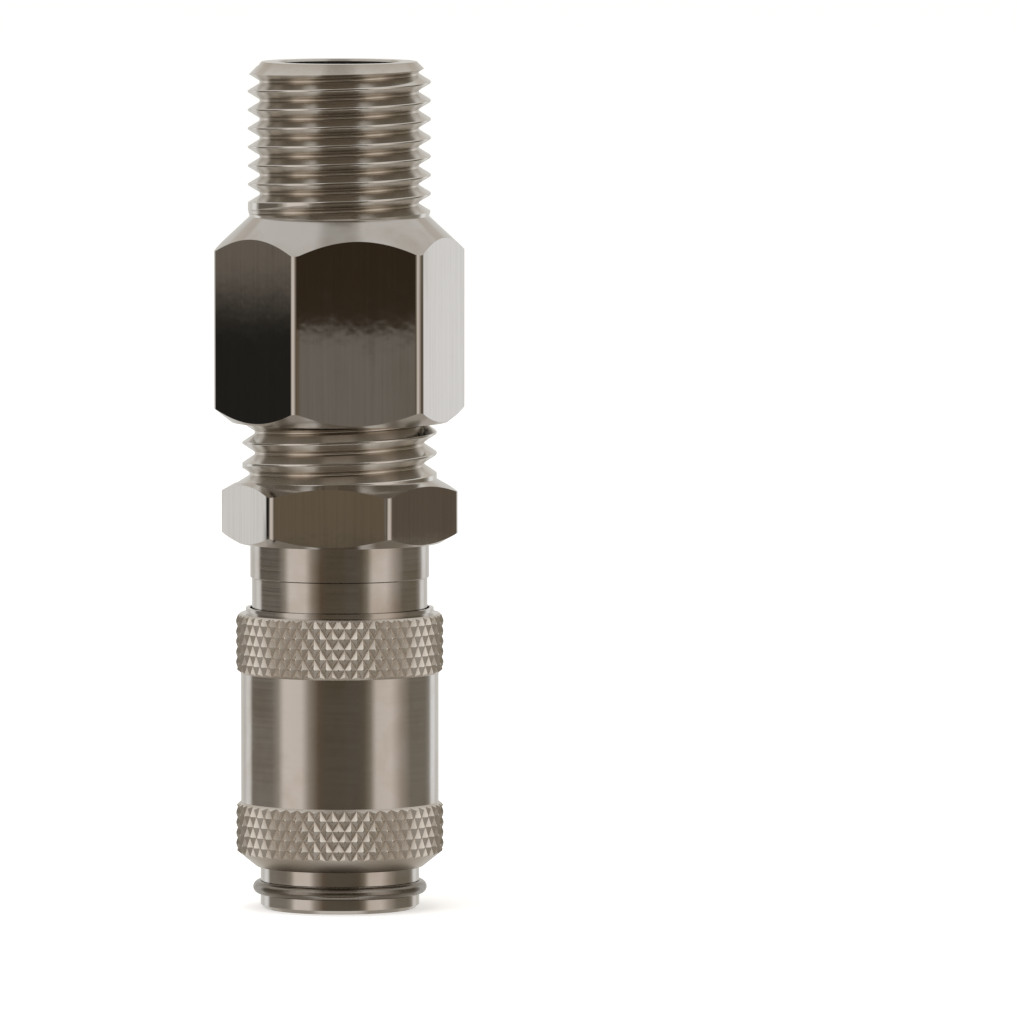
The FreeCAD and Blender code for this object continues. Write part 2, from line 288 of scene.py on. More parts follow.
class Finish(bpy.types.PropertyGroup):
    """Colours and roughness of the metals and the rubber."""
    nickel: colour("Nickel", "Bright nickel plate", "#c8c5c1")
    nickel_dull: colour("Dull nickel", "Nickel plate with a little tarnish", "#b3aa9f")
    stain: colour("Stain", "Darkest streaks and patches on the hexagons' flats", "#7d7468")
    thread_crest: colour("Thread crest", "Nickel plate on the threads' crests", "#d4d1cc")
    # Painted shade: the threads' roots get a darker colour than their crests for the shade in the grooves, with a
    # little grime
    thread_root_shade_and_grime: colour("Thread root", "Nickel plate at the bottom of the threads", "#bfb7ac")
    knurl_point: colour("Knurl point", "Nickel plate on the knurl's points", "#e0dcd6")
    # Painted shade: the knurl's valleys get a darker colour than its points for the shade between them, with a
    # little grime
    knurl_root_shade_and_grime: colour("Knurl root", "Nickel plate between the knurl's points", "#cfc8bf")
    wire: colour("Wire", "Drawn spring steel", "#8f8a83")
    ball: colour("Ball", "Polished bearing steel", "#d2d2d0")
    brass: colour("Brass", "Turned brass", "#d8b46a")
    rubber: colour("Rubber", "Moulded nitrile rubber", "#1c1b1a")
    turned_rough: share("Turned roughness", "Roughness of the turned faces", 0.11)
    flat_rough: share("Flat roughness", "Roughness of the hexagons' flats", 0.016)
    crest_rough: share("Crest roughness", "Roughness of the threads' crests", 0.12)
    root_rough: share("Root roughness", "Roughness at the bottom of the threads", 0.2)
    knurl_rough: share("Knurl roughness", "Roughness of the knurled bands", 0.24)
    wire_rough: share("Wire roughness", "Roughness of the drawn wire", 0.22)
    ball_rough: share("Ball roughness", "Roughness of the balls", 0.08)
    brass_rough: share("Brass roughness", "Roughness of the turned brass", 0.2)


class Stage(bpy.types.PropertyGroup):
    """Camera, floor and light."""
    frame_width: length("Frame width", "Width of the picture at the coupling", 73.4 * MM)
    aim: point("Aim", "Point at the middle of the picture", (12.26 * MM, 0.0, 28.70 * MM))
    distance: length("Distance", "From the camera to the aim", 1.0)
    elevation: angle("Elevation", "Height of the camera above the horizon", 4.2)
    floor: colour("Floor", "Pale floor", "#f4f4f3")
    floor_size: length("Floor size", "Side of the square floor", 6.0)
    floor_glow: share("Floor glow", "White that the camera sees on top of the lamp's light", 0.45)
    lamp_place: point("Lamp place", "Middle of the soft overhead lamp", (-0.15, -0.2, 0.9))
    lamp_size: length("Lamp size", "Diameter of the soft overhead lamp", 0.7)
    lamp_power: FloatProperty(name="Lamp power", description="Power of the soft overhead lamp", default=3.0,
                              min=0.0, unit="POWER")


def add_primitive(add, name, **settings):
    """Starts a piece or a cutter from a primitive, with nothing else selected and its place in its mesh."""
    bpy.ops.object.select_all(action="DESELECT")
    add(**settings)
    bpy.ops.object.transform_apply()
    piece = bpy.context.object
    piece.name = name
    return piece


def draw_outline(name, outline, closed=True):
    """Starts a piece: a point drawn along an outline of (radius, height) in the XZ plane, left in edit mode."""
    radius, height = outline[0]
    piece = add_primitive(bpy.ops.mesh.primitive_plane_add, name, size=MM, location=(radius, 0, height))
    bpy.ops.object.mode_set(mode="EDIT")
    bpy.ops.mesh.select_mode(type="VERT")
    bpy.ops.mesh.select_all(action="SELECT")
    bpy.ops.mesh.merge(type="CENTER")
    ends = outline[1:] + outline[:1] if closed else outline[1:]
    for here, there in zip(outline, ends):
        step = (there[0] - here[0], 0, there[1] - here[1])
        bpy.ops.mesh.extrude_region_move(TRANSFORM_OT_translate={"value": step})
    weld()
    return piece


def weld():
    """Merges doubles all over the mesh in edit mode."""
    bpy.ops.mesh.select_all(action="SELECT")
    bpy.ops.mesh.remove_doubles(threshold=WELD)


def close_skin():
    """Welds the mesh in edit mode, turns its faces outwards and leaves edit mode."""
    weld()
    bpy.ops.mesh.normals_make_consistent(inside=False)
    bpy.ops.object.mode_set(mode="OBJECT")


def turn(name, outline, steps=TURN_STEPS, closed=True):
    """Piece turned about the axis from its outline."""
    piece = draw_outline(name, outline, closed)
    bpy.ops.mesh.spin(steps=steps, angle=math.tau, center=(0, 0, 0), axis=(0, 0, 1))
    close_skin()
    return piece


def wind(piece, turns, turn_angle, rise, steps):
    """Winds an outline about the axis, each turn of an angle with its rise, and leaves it in edit mode."""
    bpy.ops.object.mode_set(mode="OBJECT")
    bpy.ops.object.modifier_add(type="SCREW")
    screw = piece.modifiers[-1]
    screw.iterations = turns
    screw.angle = turn_angle
    screw.screw_offset = rise
    screw.steps = steps
    screw.render_steps = steps
    bpy.ops.object.modifier_apply(modifier=screw.name)
    bpy.ops.object.mode_set(mode="EDIT")
    weld()


def close_ends():
    """Fills the open ends of the mesh in edit mode and closes its skin."""
    bpy.ops.mesh.select_mode(type="EDGE")
    bpy.ops.mesh.select_all(action="DESELECT")
    bpy.ops.mesh.select_non_manifold()
    bpy.ops.mesh.fill_holes(sides=0)
    close_skin()


def arc(centre, radius, start, end, steps=ARC_STEPS):
    """Points of an arc of (radius, height), from one angle in degrees to another."""
    turns = [math.radians(start + (end - start) * step / steps) for step in range(steps + 1)]
    return [(centre[0] + radius * math.cos(a), centre[1] + radius * math.sin(a)) for a in turns]


def make_active(piece):
    """Selects one piece alone."""
    bpy.ops.object.select_all(action="DESELECT")
    piece.select_set(True)
    bpy.context.view_layer.objects.active = piece


def carve(piece, tool, operation):
    """Cuts, keeps or joins by another solid, which is used up."""
    make_active(piece)
    bpy.ops.object.modifier_add(type="BOOLEAN")
    boolean = piece.modifiers[-1]
    boolean.operation = operation
    boolean.solver = "EXACT"
    boolean.object = tool
    bpy.ops.object.modifier_apply(modifier=boolean.name)
    make_active(tool)
    bpy.ops.object.delete()
    make_active(piece)


def select_where(piece, kind, test):
    """Selects the vertices, edges or faces of the mesh in edit mode that pass a test."""
    bpy.ops.mesh.select_all(action="DESELECT")
    bpy.ops.mesh.select_mode(type=kind)
    mesh = bmesh.from_edit_mesh(piece.data)
    for part in {"VERT": mesh.verts, "EDGE": mesh.edges, "FACE": mesh.faces}[kind]:
        if test(part):
            part.select_set(True)
    mesh.select_flush_mode()
    bmesh.update_edit_mesh(piece.data)


def corner_radius(across_flats):
    """From a hexagon's axis to its sharp corners."""
    return across_flats / 2 / math.cos(math.pi / 6)


def hexagon_bar(sizes, low, high):
    """Six-sided bar with rounded corners, one of them in the direction that its sizes give."""
    bar = add_primitive(
        bpy.ops.mesh.primitive_cylinder_add, "hexagon_bar", vertices=6, radius=corner_radius(sizes.across_flats),
        depth=high - low, location=(0, 0, (low + high) / 2), rotation=(0, 0, sizes.turn - math.pi / 6))
    bpy.ops.object.mode_set(mode="EDIT")
    select_where(bar, "EDGE", lambda edge: abs(edge.verts[0].co.z - edge.verts[1].co.z) > MM)
    bpy.ops.mesh.bevel(offset=sizes.corner_round, segments=CORNER_STEPS, affect="EDGES")
    bpy.ops.object.mode_set(mode="OBJECT")
    return bar


def thread_groove(sizes, low, high):
    """Solid coil of the groove between the threads: rounded crests and root, and a start that runs out."""
    pitch, depth = sizes.thread_pitch, sizes.thread_depth
    crest_r = sizes.thread_d / 2
    root_r = crest_r - depth
    cutter_r = crest_r + CUTTER_RISE * depth
    reach = pitch / 2 - CREST_FLAT * pitch
    tilt = math.pi / 2 - sizes.flank
    lean = math.degrees(tilt)
    edge = math.radians(CREST_EDGE)
    rounding = (reach - depth * math.tan(sizes.flank)) / 2 / (
        math.sin(tilt) - (1 - math.cos(tilt)) * math.tan(sizes.flank))
    crest_centre = crest_r - rounding * math.cos(edge)
    spread = reach + rounding * math.sin(edge)
    groove = draw_outline("thread_groove", [
        *arc((crest_centre, low - spread), rounding, CREST_EDGE, lean, CREST_STEPS),
        *arc((root_r + rounding, low), rounding, 180 + lean, 180 - lean, ROOT_STEPS),
        *arc((crest_centre, low + spread), rounding, -lean, -CREST_EDGE, CREST_STEPS),
        (cutter_r, low + reach), (cutter_r, low - reach)])
    wind(groove, math.ceil((high - low) / pitch), math.tau, pitch, THREAD_STEPS)
    step_angle = math.tau / THREAD_STEPS
    for step in range(RUN_OUT_STEPS):
        centre = low + pitch * step / THREAD_STEPS
        lift = 1 + depth / root_r * (1 - step / RUN_OUT_STEPS)
        select_where(groove, "VERT", lambda vert: abs(vert.co.z - centre) < pitch / 2 and abs(
            math.atan2(vert.co.y, vert.co.x) % math.tau - step * step_angle) < step_angle / 2)
        bpy.ops.transform.resize(value=(lift, lift, 1), center_override=(0, 0, 0))
    close_ends()
    groove.rotation_euler.z = sizes.thread_turn
    bpy.ops.object.transform_apply()
    return groove


def smooth(piece, degrees=CRISP):
    """Smooth shading, with edges sharper than an angle left crisp."""
    make_active(piece)
    bpy.ops.object.shade_smooth_by_angle(angle=math.radians(degrees))


def finish_faces(piece, material, test):
    """Gives their own finish to the faces that pass a test of their height, radius and upward slope."""
    def passes(face):
        centre = face.calc_center_median()
        return test(centre.z, centre.xy.length, face.normal.z)

    make_active(piece)
    piece.data.materials.append(material)
    piece.active_material_index = len(piece.data.materials) - 1
    bpy.ops.object.mode_set(mode="EDIT")
    select_where(piece, "FACE", passes)
    bpy.ops.object.material_slot_assign()
    bpy.ops.object.mode_set(mode="OBJECT")


def crisp_border(piece):
    """Keeps the light on the faces of the latest finish from bending round their borders."""
    make_active(piece)
    bpy.ops.object.mode_set(mode="EDIT")
    bpy.ops.mesh.select_all(action="DESELECT")
    bpy.ops.mesh.select_mode(type="FACE")
    bpy.ops.object.material_slot_select()
    bpy.ops.mesh.region_to_loop()
    bpy.ops.mesh.mark_sharp()
    bpy.ops.object.mode_set(mode="OBJECT")


def cut_hexagon_and_thread(piece, sizes, low, top, thread_low):
    """Cuts a turned blank to its hexagon, and its thread from a height upwards."""
    carve(piece, hexagon_bar(sizes, low - MM, top + MM), "INTERSECT")
    carve(piece, thread_groove(sizes, thread_low, top + sizes.thread_pitch), "DIFFERENCE")
    smooth(piece, THREAD_SMOOTH)


def plate_hexagon_and_thread(piece, sizes, finish, thread_finish, flats, thread):
    """Plates a piece with flats and a thread, each of which lies between two heights and outside a radius."""
    flat_low, flat_high, flat_r = flats
    thread_low, thread_high, thread_r = thread
    crest_r = sizes.thread_d / 2
    piece.data.materials.append(nickel_turned(finish))
    finish_faces(piece, nickel_flat(finish),
                 lambda z, r, slope: abs(slope) < UPRIGHT and flat_low < z < flat_high and r > flat_r)
    crisp_border(piece)
    # Painted shade: the thread's roots are painted darker than its crests, with a little grime
    plate = nickel_in_grooves(thread_finish, finish.thread_root_shade_and_grime, finish.thread_crest, crest_r - sizes.thread_depth,
                              crest_r, finish.crest_rough, finish.root_rough)
    finish_faces(piece, plate, lambda z, r, slope: thread_low < z < thread_high and r > thread_r)


def hand_over(piece, body, node):
    """Puts a finished piece on its body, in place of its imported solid."""
    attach(piece, body)
    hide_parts(node)


def add_node(tree, kind, inputs=None, **settings):
    """Adds a node, sets its options, and sets or links its inputs."""
    node = tree.nodes.new(kind)
    for name, value in settings.items():
        setattr(node, name, value)
    for key, value in (inputs or {}).items():
        if isinstance(value, bpy.types.NodeSocket):
            tree.links.new(value, node.inputs[key])
        else:
            node.inputs[key].default_value = value
    return node


def new_material(name):
    """Empty node material, its tree, and the place of each point on the piece."""
    material = bpy.data.materials.get(name) or bpy.data.materials.new(name)
    material.use_nodes = True
    tree = material.node_tree
    tree.nodes.clear()
    return material, tree, add_node(tree, "ShaderNodeTexCoord").outputs["Object"]


def rgba(rgb):
    """Opaque colour socket value."""
    return (*rgb, 1.0)


def nickel_turned(finish):
    """Nickel plate on turned brass: a soft mirror with fine rings from the tool and a faint warm tarnish."""
    material, tree, place = new_material("nickel_plated_turned_brass")
    # Feed marks are about 0.1 mm apart: drawn at 0.4 mm, so that they show
    rings = add_node(tree, "ShaderNodeMapping", {"Vector": place, "Scale": (20, 20, 1 / (0.4 * MM))})
    marks = add_node(tree, "ShaderNodeTexNoise", {
        "Vector": rings.outputs["Vector"], "Scale": 1.0, "Detail": 3.0})
    # Tarnish clouds are about 4 mm across
    clouds = add_node(tree, "ShaderNodeTexNoise", {"Vector": place, "Scale": 1 / (4 * MM), "Detail": 4.0})
    tint = add_node(tree, "ShaderNodeMapRange", {
        "Value": clouds.outputs["Fac"], "From Min": 0.45, "From Max": 0.8})
    base = add_node(tree, "ShaderNodeMix", {
        "Factor": tint.outputs["Result"], "A": rgba(finish.nickel), "B": rgba(finish.nickel_dull)},
        data_type="RGBA")
    rough = add_node(tree, "ShaderNodeMapRange", {
        "Value": marks.outputs["Fac"], "From Min": 0.3, "From Max": 0.7,
        "To Min": 0.7 * finish.turned_rough, "To Max": 1.3 * finish.turned_rough})
    bump = add_node(tree, "ShaderNodeBump", {
        "Height": marks.outputs["Fac"], "Strength": 0.05, "Distance": 0.05 * MM})
    shader = add_node(tree, "ShaderNodeBsdfPrincipled", {
        "Base Color": base.outputs["Result"], "Metallic": 1.0, "Roughness": rough.outputs["Result"],
        "Normal": bump.outputs["Normal"]})
    add_node(tree, "ShaderNodeOutputMaterial", {"Surface": shader.outputs["BSDF"]})
    return material


def nickel_flat(finish):
    """Nickel plate on drawn hexagon bar: a slightly wavy mirror with faint drawing streaks and dull patches."""
    material, tree, place = new_material("nickel_plated_drawn_hexagon_brass")
    # Waves of the flats are about 3 mm long and under a thousandth of a millimetre high
    waves = add_node(tree, "ShaderNodeTexNoise", {"Vector": place, "Scale": 1 / (3 * MM), "Detail": 3.0})
    wavy = add_node(tree, "ShaderNodeBump", {
        "Height": waves.outputs["Fac"], "Strength": 1.0, "Distance": 0.001 * MM})
    # Drawing streaks are about 0.05 mm wide: drawn at 0.25 mm, so that they show
    along = add_node(tree, "ShaderNodeMapping", {
        "Vector": place, "Scale": (1 / (0.25 * MM), 1 / (0.25 * MM), 1 / (12 * MM))})
    streaks = add_node(tree, "ShaderNodeTexNoise", {
        "Vector": along.outputs["Vector"], "Scale": 1.0, "Detail": 2.0})
    faded = add_node(tree, "ShaderNodeMapRange", {
        "Value": streaks.outputs["Fac"], "From Min": 0.35, "From Max": 0.75, "To Max": 0.28})
    # Dull patches are about 2 mm across
    patches = add_node(tree, "ShaderNodeTexNoise", {"Vector": place, "Scale": 1 / (2 * MM), "Detail": 5.0})
    stained = add_node(tree, "ShaderNodeMath", {0: faded.outputs["Result"], 1: patches.outputs["Fac"]},
                       operation="MULTIPLY")
    base = add_node(tree, "ShaderNodeMix", {
        "Factor": stained.outputs["Value"], "A": rgba(finish.nickel), "B": rgba(finish.stain)}, data_type="RGBA")
    rough = add_node(tree, "ShaderNodeMapRange", {
        "Value": patches.outputs["Fac"], "From Min": 0.5, "From Max": 0.8,
        "To Min": finish.flat_rough, "To Max": 2.0 * finish.flat_rough})
    shader = add_node(tree, "ShaderNodeBsdfPrincipled", {
        "Base Color": base.outputs["Result"], "Metallic": 1.0, "Roughness": rough.outputs["Result"],
        "Normal": wavy.outputs["Normal"]})
    add_node(tree, "ShaderNodeOutputMaterial", {"Surface": shader.outputs["BSDF"]})
    return material


def nickel_in_grooves(name, root, crest, root_r, crest_r, crest_rough, root_rough):
    """Nickel plate on a thread or knurl: bright crests, and roots painted darker for the shade in the grooves, with
    a little grime.
    """
    material, tree, place = new_material(name)
    depth = crest_r - root_r
    flat = add_node(tree, "ShaderNodeVectorMath", {0: place, 1: (1, 1, 0)}, operation="MULTIPLY")
    radius = add_node(tree, "ShaderNodeVectorMath", {0: flat.outputs["Vector"]}, operation="LENGTH")
    # Grime spots are about 0.5 mm across
    spots = add_node(tree, "ShaderNodeTexNoise", {"Vector": place, "Scale": 1 / (0.5 * MM), "Detail": 4.0})
    uneven = add_node(tree, "ShaderNodeMath", {
        0: spots.outputs["Fac"], 1: 0.6 * depth, 2: radius.outputs["Value"]}, operation="MULTIPLY_ADD")
    height = add_node(tree, "ShaderNodeMapRange", {
        "Value": uneven.outputs["Value"], "From Min": root_r + 0.15 * depth, "From Max": crest_r + 0.2 * depth})
    # Painted shade: the colour darkens from crest to root for the shade in the grooves, with a little grime
    base = add_node(tree, "ShaderNodeMix", {
        "Factor": height.outputs["Result"], "A": rgba(root), "B": rgba(crest)}, data_type="RGBA")
    rough = add_node(tree, "ShaderNodeMapRange", {
        "Value": height.outputs["Result"], "To Min": root_rough, "To Max": crest_rough})
    shader = add_node(tree, "ShaderNodeBsdfPrincipled", {
        "Base Color": base.outputs["Result"], "Metallic": 1.0, "Roughness": rough.outputs["Result"]})
    add_node(tree, "ShaderNodeOutputMaterial", {"Surface": shader.outputs["BSDF"]})
    return material


def plain_metal(name, tint, roughness, grain):
    """Bare metal with a fine grain of a given size that breaks up its gloss."""
    material, tree, place = new_material(name)
    noise = add_node(tree, "ShaderNodeTexNoise", {"Vector": place, "Scale": 1 / grain, "Detail": 3.0})
    rough = add_node(tree, "ShaderNodeMapRange", {
        "Value": noise.outputs["Fac"], "From Min": 0.3, "From Max": 0.7,
        "To Min": 0.7 * roughness, "To Max": 1.3 * roughness})
    shader = add_node(tree, "ShaderNodeBsdfPrincipled", {
        "Base Color": rgba(tint), "Metallic": 1.0, "Roughness": rough.outputs["Result"]})
    add_node(tree, "ShaderNodeOutputMaterial", {"Surface": shader.outputs["BSDF"]})
    return material


def spring_wire(finish):
    """Drawn spring steel: grey, with a dull sheen. Its fine grain is drawn at 0.3 mm, so that it shows."""
    return plain_metal("drawn_spring_steel_wire", finish.wire, finish.wire_rough, 0.3 * MM)


def bearing_steel(finish):
    """Polished bearing steel: a clear mirror, a little uneven over 0.5 mm."""
    return plain_metal("polished_bearing_steel", finish.ball, finish.ball_rough, 0.5 * MM)


def turned_brass(finish):
    """Turned brass: yellow, with a soft gloss. The tool's marks are drawn at 0.2 mm, so that they show."""
    return plain_metal("turned_brass", finish.brass, finish.brass_rough, 0.2 * MM)


def nitrile_rubber(finish):
    """Moulded nitrile rubber: black and matt, with a faint sheen from the mould's fine texture."""
    material, tree, place = new_material("moulded_nitrile_rubber")
    # The mould's texture is under 0.05 mm: drawn at 0.2 mm, so that it shows
    grain = add_node(tree, "ShaderNodeTexNoise", {"Vector": place, "Scale": 1 / (0.2 * MM), "Detail": 3.0})
    rough = add_node(tree, "ShaderNodeMapRange", {
        "Value": grain.outputs["Fac"], "To Min": 0.45, "To Max": 0.75})
    bump = add_node(tree, "ShaderNodeBump", {
        "Height": grain.outputs["Fac"], "Strength": 0.2, "Distance": 0.02 * MM})
    shader = add_node(tree, "ShaderNodeBsdfPrincipled", {
        "Base Color": rgba(finish.rubber), "Roughness": rough.outputs["Result"],
        "Normal": bump.outputs["Normal"]})
    add_node(tree, "ShaderNodeOutputMaterial", {"Surface": shader.outputs["BSDF"]})
    return material


class COUPLING_OT_adapter(bpy.types.Operator):
    """Adapter: large hexagon with a pipe thread on top, an air bore and an inside thread below"""
    bl_idname = "coupling.adapter"
    bl_label = "Adapter"

    def execute(self, context):
        sizes = context.scene.adapter_sizes
        low, top = heights("adapter")
        step = heights("adapter_gasket")[1]
        neck = top - sizes.thread_length
        thread_r = sizes.thread_d / 2
        bore_r = sizes.bore_d / 2
        mouth_r = bore_r + sizes.bore_chamfer
        socket_r = sizes.socket_d / 2
        blank_r = corner_radius(sizes.across_flats) + BLANK_SPARE
        chamfer_r = sizes.across_flats / 2 - CHAMFER_INSET
        neck_r = thread_r - sizes.thread_depth + sizes.neck_rise
        run_out_r = thread_r - sizes.run_out_depth
        low_drop = (blank_r - chamfer_r) * math.tan(sizes.low_chamfer)
        top_drop = (blank_r - neck_r) / math.tan(sizes.shoulder)
        run_out = neck - (run_out_r - neck_r) / math.tan(sizes.shoulder)
        piece = turn("hex_adapter", [
            (socket_r + sizes.socket_chamfer, low), (chamfer_r, low), (blank_r, low + low_drop),
            (blank_r, neck - top_drop), (run_out_r, run_out), (thread_r, neck),
            (thread_r, top - sizes.end_chamfer), (thread_r - sizes.end_chamfer, top),
            (mouth_r, top), (bore_r, top - sizes.bore_chamfer),
            (bore_r, step), (socket_r, step), (socket_r, low + sizes.socket_chamfer)])
        cut_hexagon_and_thread(piece, sizes, low, top, neck + sizes.thread_start)
        plate_hexagon_and_thread(piece, sizes, context.scene.coupling_finish, "nickel_plated_cut_pipe_thread",
                                 flats=(low, neck, socket_r), thread=(run_out, top - END_FACE, mouth_r))
        hand_over(piece, "housing", "adapter")
        return {"FINISHED"}


class COUPLING_OT_connector(bpy.types.Operator):
    """Connector: spigot, collar, small hexagon and the metric thread that the adapter sits on"""
    bl_idname = "coupling.connector"
    bl_label = "Connector"

    def execute(self, context):
        sizes = context.scene.connector_sizes
        low, top = heights("connector")
        seam = heights("barrel")[1]
        pocket_top = heights("valve_spring")[1]
        spigot_r = outer_radius("barrel_gasket")
        collar_r = sizes.collar_d / 2
        thread_r = sizes.thread_d / 2
        flow_r = sizes.flow_d / 2
        pocket_r = sizes.pocket_d / 2
        blank_r = corner_radius(sizes.across_flats) + BLANK_SPARE
        chamfer_r = sizes.across_flats / 2 - CHAMFER_INSET
        drop = (blank_r - chamfer_r) * math.tan(sizes.chamfer)
        hex_low = seam + sizes.collar_length
        hex_high = hex_low + sizes.hex_length
        piece = turn("hex_connector", [
            (pocket_r, low), (spigot_r, low), (spigot_r, seam), (collar_r - SEAM_BREAK, seam),
            (collar_r, seam + SEAM_BREAK), (collar_r, hex_low), (chamfer_r, hex_low),
            (blank_r, hex_low + drop), (blank_r, hex_high - drop),
            (thread_r, hex_high + (chamfer_r - thread_r) * math.tan(sizes.chamfer)),
            (thread_r, top - sizes.end_chamfer), (thread_r - sizes.end_chamfer, top),
            (flow_r, top), (flow_r, pocket_top), (pocket_r, pocket_top)])
        cut_hexagon_and_thread(piece, sizes, low, top, hex_high + sizes.thread_start)
        plate_hexagon_and_thread(
            piece, sizes, context.scene.coupling_finish, "nickel_plated_cut_metric_thread",
            flats=(hex_low, hex_high, thread_r), thread=(hex_high + FACE_MARGIN, top - END_FACE, pocket_r))
        hand_over(piece, "housing", "connector")
        return {"FINISHED"}


class COUPLING_OT_barrel(bpy.types.Operator):
    """Barrel: nose with the snap ring's groove, ball holes, O-ring groove, valve seat and rear socket"""
    bl_idname = "coupling.barrel"
    bl_label = "Barrel"

    def execute(self, context):
        sizes = context.scene.barrel_sizes
        low, seam = heights("barrel")
        ring_low, ring_high = heights("snap_ring")
        ring_wire_r = (ring_high - ring_low) / 2
        ring_centre = (outer_radius("snap_ring") - ring_wire_r, (ring_low + ring_high) / 2)
        step = heights("barrel_gasket")[0]
        neck_high = heights("sleeve_spring")[1]
        seat_high = heights("valve_seal")[0]
        seat_low = seat_high - sizes.seat_thickness
        seal_low, seal_high = heights("plug_seal")
        groove_low = seal_low - sizes.groove_play
        groove_high = seal_high + sizes.groove_play
        ball_low, ball_high = heights("ball_1")
        ball_z = (ball_low + ball_high) / 2
        hole_r = (ball_high - ball_low) / 2 + sizes.ball_play
        hole_x = middle("ball_1").xy.length - sizes.ball_sink
        nose_r = sizes.nose_d / 2
        neck_r = nose_r - sizes.neck_relief
        tail_r = outer_radius("barrel")
        socket_r = outer_radius("barrel_gasket") + sizes.gasket_play
        guide_r = sizes.guide_d / 2
        bore_r = sizes.bore_d / 2
        seat_r = sizes.seat_d / 2
        chamber_r = sizes.chamber_d / 2
        groove_r = outer_radius("plug_seal") + sizes.groove_fit
        ring_groove_r = ring_wire_r + sizes.ring_fit
        meet = math.degrees(math.acos((nose_r - ring_centre[0]) / ring_groove_r))
        neck_low = ball_z + hole_r + sizes.ball_land
        guide_high = ball_z - hole_r - sizes.ball_land
        piece = turn("nose_barrel", [
            (guide_r + sizes.mouth_chamfer, low), (nose_r - sizes.nose_chamfer, low),
            (nose_r, low + sizes.nose_chamfer), *arc(ring_centre, ring_groove_r, 360 - meet, meet),
            (nose_r, neck_low), (neck_r, neck_low + sizes.neck_relief), (neck_r, neck_high),
            (tail_r - sizes.edge_break, neck_high), (tail_r, neck_high + sizes.edge_break),
            (tail_r, seam - SEAM_BREAK), (tail_r - SEAM_BREAK, seam), (socket_r, seam), (socket_r, step),
            (chamber_r, step), (chamber_r, seat_high), (seat_r, seat_high), (seat_r, seat_low),
            (bore_r, seat_low),
            (bore_r, groove_high), (groove_r, groove_high), (groove_r, groove_low), (bore_r, groove_low),
            (bore_r, guide_high + guide_r - bore_r), (guide_r, guide_high),
            (guide_r, low + sizes.mouth_chamfer)])
        for index in range(len(BALLS)):
            hole = add_primitive(
                bpy.ops.mesh.primitive_uv_sphere_add, "ball_hole", segments=BALL_STEPS, ring_count=BALL_STEPS // 2,
                radius=hole_r, location=(hole_x, 0, ball_z), rotation=(0, math.pi / 2, 0))
            bpy.ops.object.mode_set(mode="EDIT")
            select_where(hole, "VERT", lambda vert: vert.co.x > hole_x + WELD)
            bpy.ops.transform.translate(value=(2 * hole_r, 0, 0))
            bpy.ops.object.mode_set(mode="OBJECT")
            hole.rotation_euler.z = math.radians(FIRST_BALL + 360 / len(BALLS) * index)
            bpy.ops.object.transform_apply()
            carve(piece, hole, "DIFFERENCE")
        smooth(piece)
        piece.data.materials.append(nickel_turned(context.scene.coupling_finish))
        hand_over(piece, "housing", "barrel")
        return {"FINISHED"}


class COUPLING_OT_snap_ring(bpy.types.Operator):
    """Open ring of spring wire at the nose, with its gap at the rear"""
    bl_idname = "coupling.snap_ring"
    bl_label = "Snap ring"

    def execute(self, context):
        gap = context.scene.spring_sizes.ring_gap
        low, high = heights("snap_ring")
        wire_r = (high - low) / 2
        piece = add_primitive(
            bpy.ops.mesh.primitive_circle_add, "wire_snap_ring", vertices=RING_WIRE_STEPS, radius=wire_r,
            fill_type="NGON", rotation=(math.pi / 2, 0, 0),
            location=(outer_radius("snap_ring") - wire_r, 0, (low + high) / 2))
        bpy.ops.object.mode_set(mode="EDIT")
        bpy.ops.mesh.select_all(action="SELECT")
        bpy.ops.mesh.spin(steps=TURN_STEPS, angle=math.tau - gap, center=(0, 0, 0), axis=(0, 0, 1))
        close_skin()
        piece.rotation_euler.z = math.pi / 2 + gap / 2
        bpy.ops.object.transform_apply()
        smooth(piece, WIRE_SMOOTH)
        piece.data.materials.append(spring_wire(context.scene.coupling_finish))
        hand_over(piece, "housing", "snap_ring")
        return {"FINISHED"}


